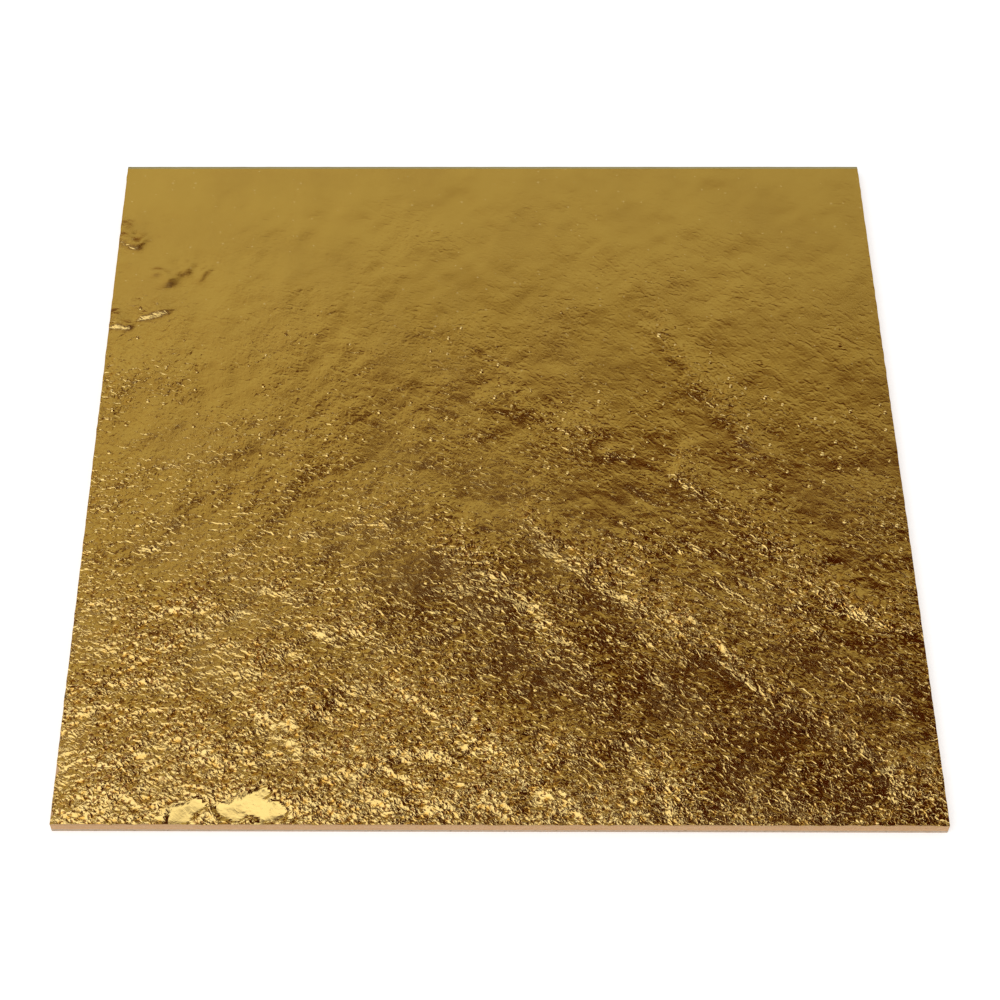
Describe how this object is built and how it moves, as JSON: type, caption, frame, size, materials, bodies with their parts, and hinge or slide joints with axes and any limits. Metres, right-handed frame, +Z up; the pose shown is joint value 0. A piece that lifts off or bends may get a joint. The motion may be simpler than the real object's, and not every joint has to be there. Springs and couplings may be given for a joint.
{
  "type": "gold leaf booklet",
  "caption": "Bound book of square gold leaves on rouged tissue pages with a card cover, for gilding.",
  "frame": {"origin": "on the surface that the book lies on, under the middle of its outline", "axes": "+Z up through the pages, +Y towards the spine, +X to the right as seen from the fore-edge"},
  "size_m": [0.0804, 0.0806, 0.0014],
  "materials": {
    "gold_leaf": "beaten gold leaf, finely crinkled, mirror bright",
    "rouged_tissue": "matt tan tissue rubbed with red bole",
    "cover_card": "matt uncoated card",
    "padding_glue": "thin dull film of dried padding glue"
  },
  "bodies": {
    "back_cover": {"back_cover": "cover_card", "spine_glue": "padding_glue"},
    "cover_spine": {"cover_spine": "cover_card"},
    "front_cover": {"front_cover": "cover_card", "guard_tissue": "rouged_tissue"},
    "top_leaf": {"gold_leaf_01": "gold_leaf"},
    "page_01": {"tissue_page_01": "rouged_tissue"},
    "page_02": {"tissue_page_02": "rouged_tissue", "gold_leaf_02": "gold_leaf"},
    "page_03": {"tissue_page_03": "rouged_tissue", "gold_leaf_03": "gold_leaf"},
    "page_04": {"tissue_page_04": "rouged_tissue", "gold_leaf_04": "gold_leaf"},
    "page_05": {"tissue_page_05": "rouged_tissue", "gold_leaf_05": "gold_leaf"},
    "page_06": {"tissue_page_06": "rouged_tissue", "gold_leaf_06": "gold_leaf"},
    "page_07": {"tissue_page_07": "rouged_tissue", "gold_leaf_07": "gold_leaf"},
    "page_08": {"tissue_page_08": "rouged_tissue", "gold_leaf_08": "gold_leaf"},
    "page_09": {"tissue_page_09": "rouged_tissue", "gold_leaf_09": "gold_leaf"},
    "page_10": {"tissue_page_10": "rouged_tissue", "gold_leaf_10": "gold_leaf"},
    "page_11": {"tissue_page_11": "rouged_tissue", "gold_leaf_11": "gold_leaf"},
    "page_12": {"tissue_page_12": "rouged_tissue", "gold_leaf_12": "gold_leaf"},
    "page_13": {"tissue_page_13": "rouged_tissue", "gold_leaf_13": "gold_leaf"},
    "page_14": {"tissue_page_14": "rouged_tissue", "gold_leaf_14": "gold_leaf"},
    "page_15": {"tissue_page_15": "rouged_tissue", "gold_leaf_15": "gold_leaf"},
    "page_16": {"tissue_page_16": "rouged_tissue", "gold_leaf_16": "gold_leaf"},
    "page_17": {"tissue_page_17": "rouged_tissue", "gold_leaf_17": "gold_leaf"},
    "page_18": {"tissue_page_18": "rouged_tissue", "gold_leaf_18": "gold_leaf"},
    "page_19": {"tissue_page_19": "rouged_tissue", "gold_leaf_19": "gold_leaf"},
    "page_20": {"tissue_page_20": "rouged_tissue", "gold_leaf_20": "gold_leaf"},
    "page_21": {"tissue_page_21": "rouged_tissue", "gold_leaf_21": "gold_leaf"},
    "page_22": {"tissue_page_22": "rouged_tissue", "gold_leaf_22": "gold_leaf"},
    "page_23": {"tissue_page_23": "rouged_tissue", "gold_leaf_23": "gold_leaf"},
    "page_24": {"tissue_page_24": "rouged_tissue", "gold_leaf_24": "gold_leaf"},
    "page_25": {"tissue_page_25": "rouged_tissue", "gold_leaf_25": "gold_leaf"}
  },
  "joints": [
    {"name": "cover_wrap", "type": "hinge", "parent": "back_cover", "child": "cover_spine", "pos_m": [0, 0.04034, 0.0002], "axis": [-1, 0, 0], "range_deg": [-270, 0]},
    {"name": "cover_crease", "type": "hinge", "parent": "cover_spine", "child": "front_cover", "pos_m": [0, 0.03912, 0.00004], "axis": [-1, 0, 0], "range_deg": [-90, 0]},
    {"name": "page_25_turn", "type": "hinge", "parent": "back_cover", "child": "page_25", "pos_m": [0, 0.04006, 0.00039], "axis": [-1, 0, 0], "range_deg": [0, 1.25], "deforming": ["spine_glue"]},
    {"name": "page_24_turn", "type": "hinge", "parent": "page_25", "child": "page_24", "pos_m": [0, 0.04006, 0.00043], "axis": [-1, 0, 0], "range_deg": [0, 1.25]},
    {"name": "page_23_turn", "type": "hinge", "parent": "page_24", "child": "page_23", "pos_m": [0, 0.04006, 0.00047], "axis": [-1, 0, 0], "range_deg": [0, 1.25]},
    {"name": "page_22_turn", "type": "hinge", "parent": "page_23", "child": "page_22", "pos_m": [0, 0.04006, 0.00051], "axis": [-1, 0, 0], "range_deg": [0, 1.25]},
    {"name": "page_21_turn", "type": "hinge", "parent": "page_22", "child": "page_21", "pos_m": [0, 0.04006, 0.00055], "axis": [-1, 0, 0], "range_deg": [0, 1.25]},
    {"name": "page_20_turn", "type": "hinge", "parent": "page_21", "child": "page_20", "pos_m": [0, 0.04006, 0.00059], "axis": [-1, 0, 0], "range_deg": [0, 1.25]},
    {"name": "page_19_turn", "type": "hinge", "parent": "page_20", "child": "page_19", "pos_m": [0, 0.04006, 0.00063], "axis": [-1, 0, 0], "range_deg": [0, 1.25]},
    {"name": "page_18_turn", "type": "hinge", "parent": "page_19", "child": "page_18", "pos_m": [0, 0.04006, 0.00067], "axis": [-1, 0, 0], "range_deg": [0, 1.25]},
    {"name": "page_17_turn", "type": "hinge", "parent": "page_18", "child": "page_17", "pos_m": [0, 0.04006, 0.00071], "axis": [-1, 0, 0], "range_deg": [0, 1.25]},
    {"name": "page_16_turn", "type": "hinge", "parent": "page_17", "child": "page_16", "pos_m": [0, 0.04006, 0.00075], "axis": [-1, 0, 0], "range_deg": [0, 1.25]},
    {"name": "page_15_turn", "type": "hinge", "parent": "page_16", "child": "page_15", "pos_m": [0, 0.04006, 0.00079], "axis": [-1, 0, 0], "range_deg": [0, 1.25]},
    {"name": "page_14_turn", "type": "hinge", "parent": "page_15", "child": "page_14", "pos_m": [0, 0.04006, 0.00083], "axis": [-1, 0, 0], "range_deg": [0, 1.25]},
    {"name": "page_13_turn", "type": "hinge", "parent": "page_14", "child": "page_13", "pos_m": [0, 0.04006, 0.00087], "axis": [-1, 0, 0], "range_deg": [0, 1.25]},
    {"name": "page_12_turn", "type": "hinge", "parent": "page_13", "child": "page_12", "pos_m": [0, 0.04006, 0.00091], "axis": [-1, 0, 0], "range_deg": [0, 1.25]},
    {"name": "page_11_turn", "type": "hinge", "parent": "page_12", "child": "page_11", "pos_m": [0, 0.04006, 0.00095], "axis": [-1, 0, 0], "range_deg": [0, 1.25]},
    {"name": "page_10_turn", "type": "hinge", "parent": "page_11", "child": "page_10", "pos_m": [0, 0.04006, 0.00099], "axis": [-1, 0, 0], "range_deg": [0, 1.25]},
    {"name": "page_09_turn", "type": "hinge", "parent": "page_10", "child": "page_09", "pos_m": [0, 0.04006, 0.00103], "axis": [-1, 0, 0], "range_deg": [0, 1.25]},
    {"name": "page_08_turn", "type": "hinge", "parent": "page_09", "child": "page_08", "pos_m": [0, 0.04006, 0.00107], "axis": [-1, 0, 0], "range_deg": [0, 1.25]},
    {"name": "page_07_turn", "type": "hinge", "parent": "page_08", "child": "page_07", "pos_m": [0, 0.04006, 0.00111], "axis": [-1, 0, 0], "range_deg": [0, 1.25]},
    {"name": "page_06_turn", "type": "hinge", "parent": "page_07", "child": "page_06", "pos_m": [0, 0.04006, 0.00115], "axis": [-1, 0, 0], "range_deg": [0, 1.25]},
    {"name": "page_05_turn", "type": "hinge", "parent": "page_06", "child": "page_05", "pos_m": [0, 0.04006, 0.00119], "axis": [-1, 0, 0], "range_deg": [0, 1.25]},
    {"name": "page_04_turn", "type": "hinge", "parent": "page_05", "child": "page_04", "pos_m": [0, 0.04006, 0.00123], "axis": [-1, 0, 0], "range_deg": [0, 1.25]},
    {"name": "page_03_turn", "type": "hinge", "parent": "page_04", "child": "page_03", "pos_m": [0, 0.04006, 0.00127], "axis": [-1, 0, 0], "range_deg": [0, 1.25]},
    {"name": "page_02_turn", "type": "hinge", "parent": "page_03", "child": "page_02", "pos_m": [0, 0.04006, 0.00131], "axis": [-1, 0, 0], "range_deg": [0, 1.25]},
    {"name": "page_01_turn", "type": "hinge", "parent": "page_02", "child": "page_01", "pos_m": [0, 0.04006, 0.00135], "axis": [-1, 0, 0], "range_deg": [0, 150]},
    {"name": "leaf_slide_off", "type": "slide", "parent": "page_01", "child": "top_leaf", "axis": [0, -1, 0], "range_m": [0, 0.08]}
  ],
  "couplings": [
    {"joint": "cover_crease", "follows": "cover_wrap", "ratio": 0.33333},
    {"joint": "page_24_turn", "follows": "page_25_turn", "ratio": 1},
    {"joint": "page_23_turn", "follows": "page_25_turn", "ratio": 1},
    {"joint": "page_22_turn", "follows": "page_25_turn", "ratio": 1},
    {"joint": "page_21_turn", "follows": "page_25_turn", "ratio": 1},
    {"joint": "page_20_turn", "follows": "page_25_turn", "ratio": 1},
    {"joint": "page_19_turn", "follows": "page_25_turn", "ratio": 1},
    {"joint": "page_18_turn", "follows": "page_25_turn", "ratio": 1},
    {"joint": "page_17_turn", "follows": "page_25_turn", "ratio": 1},
    {"joint": "page_16_turn", "follows": "page_25_turn", "ratio": 1},
    {"joint": "page_15_turn", "follows": "page_25_turn", "ratio": 1},
    {"joint": "page_14_turn", "follows": "page_25_turn", "ratio": 1},
    {"joint": "page_12_turn", "follows": "page_13_turn", "ratio": 1},
    {"joint": "page_11_turn", "follows": "page_13_turn", "ratio": 1},
    {"joint": "page_10_turn", "follows": "page_13_turn", "ratio": 1},
    {"joint": "page_09_turn", "follows": "page_13_turn", "ratio": 1},
    {"joint": "page_08_turn", "follows": "page_13_turn", "ratio": 1},
    {"joint": "page_07_turn", "follows": "page_13_turn", "ratio": 1},
    {"joint": "page_06_turn", "follows": "page_13_turn", "ratio": 1},
    {"joint": "page_05_turn", "follows": "page_13_turn", "ratio": 1},
    {"joint": "page_04_turn", "follows": "page_13_turn", "ratio": 1},
    {"joint": "page_03_turn", "follows": "page_13_turn", "ratio": 1},
    {"joint": "page_02_turn", "follows": "page_13_turn", "ratio": 1}
  ]
}
